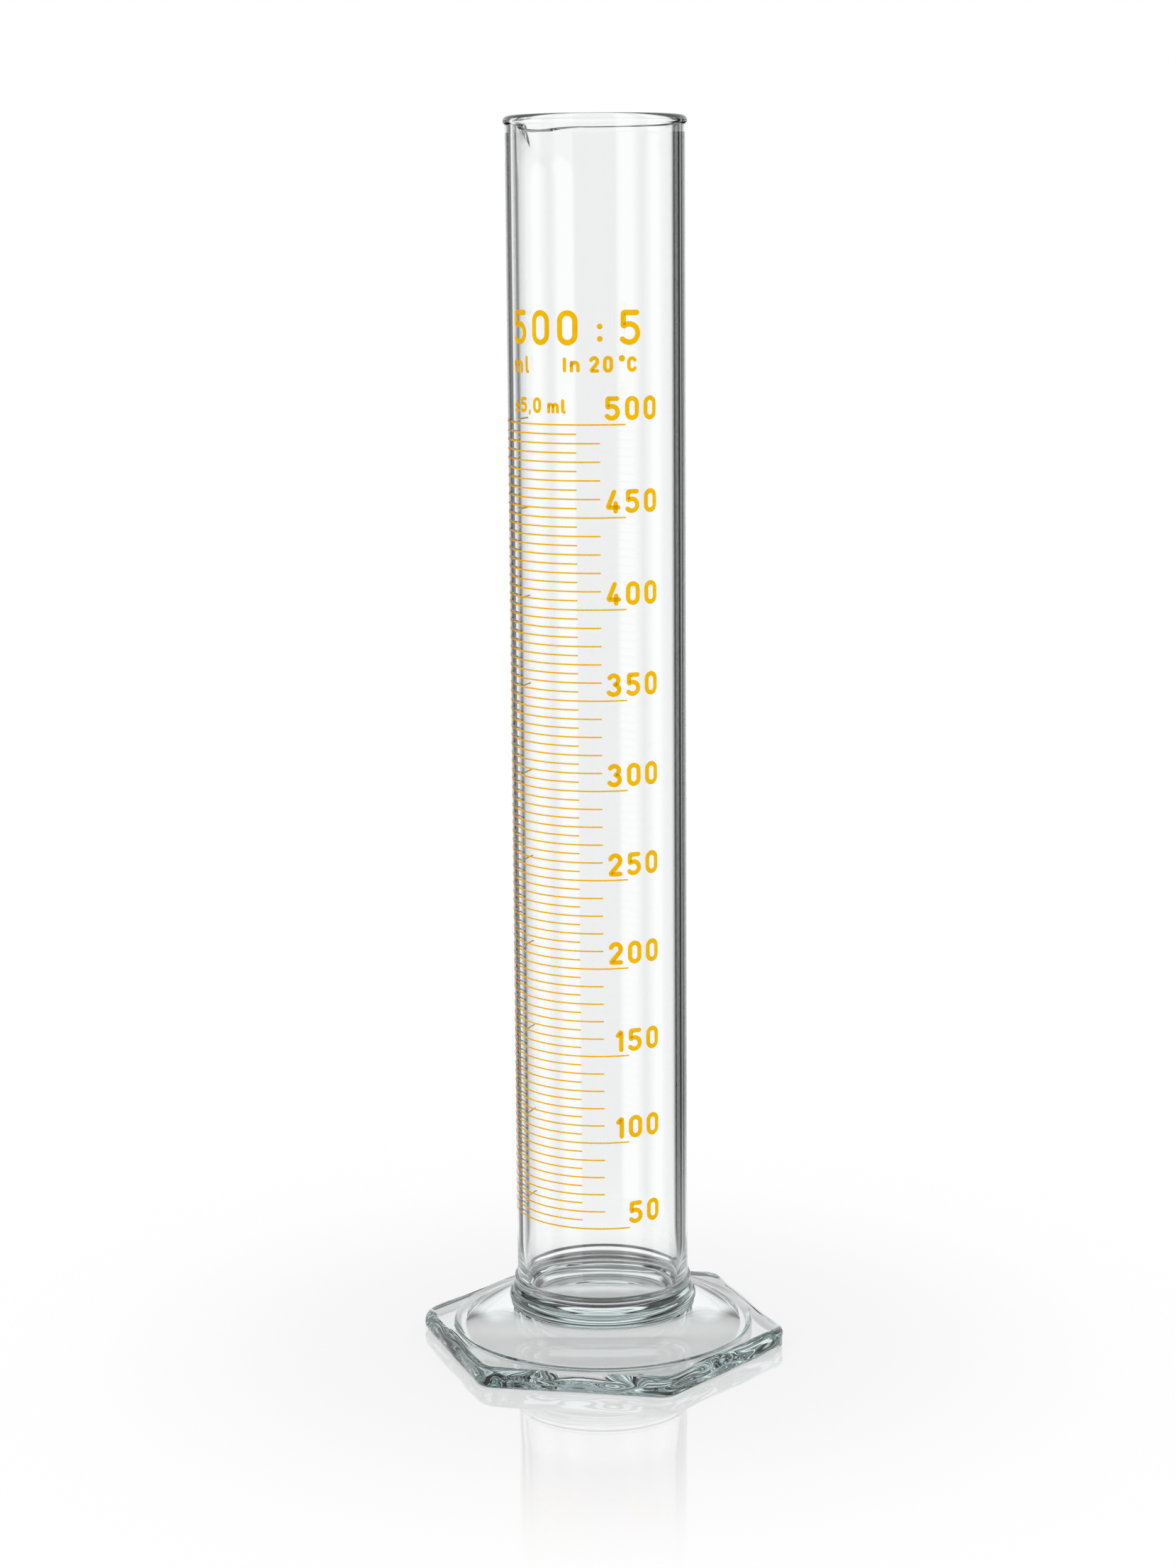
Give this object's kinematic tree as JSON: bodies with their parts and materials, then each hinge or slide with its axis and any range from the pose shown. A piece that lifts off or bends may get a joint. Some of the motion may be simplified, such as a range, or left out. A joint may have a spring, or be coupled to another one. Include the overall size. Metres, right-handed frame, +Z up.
{
  "type": "graduated cylinder",
  "caption": "Tall glass measuring cylinder on a hexagonal foot, with a beaded rim, a pouring spout and an amber enamel scale.",
  "frame": {"origin": "middle of the foot's underside, on the tube's axis", "axes": "+Z up along the tube's axis, -Y towards the side from which the figures beside the scale are read, +X to the right"},
  "size_m": [0.1128, 0.1084, 0.375],
  "materials": {
    "clear_glass": "clear, polished",
    "amber_enamel": "fired enamel, satin"
  },
  "bodies": {
    "root": {"glass_body": "clear_glass", "scale_lines": "amber_enamel"}
  },
  "joints": []
}
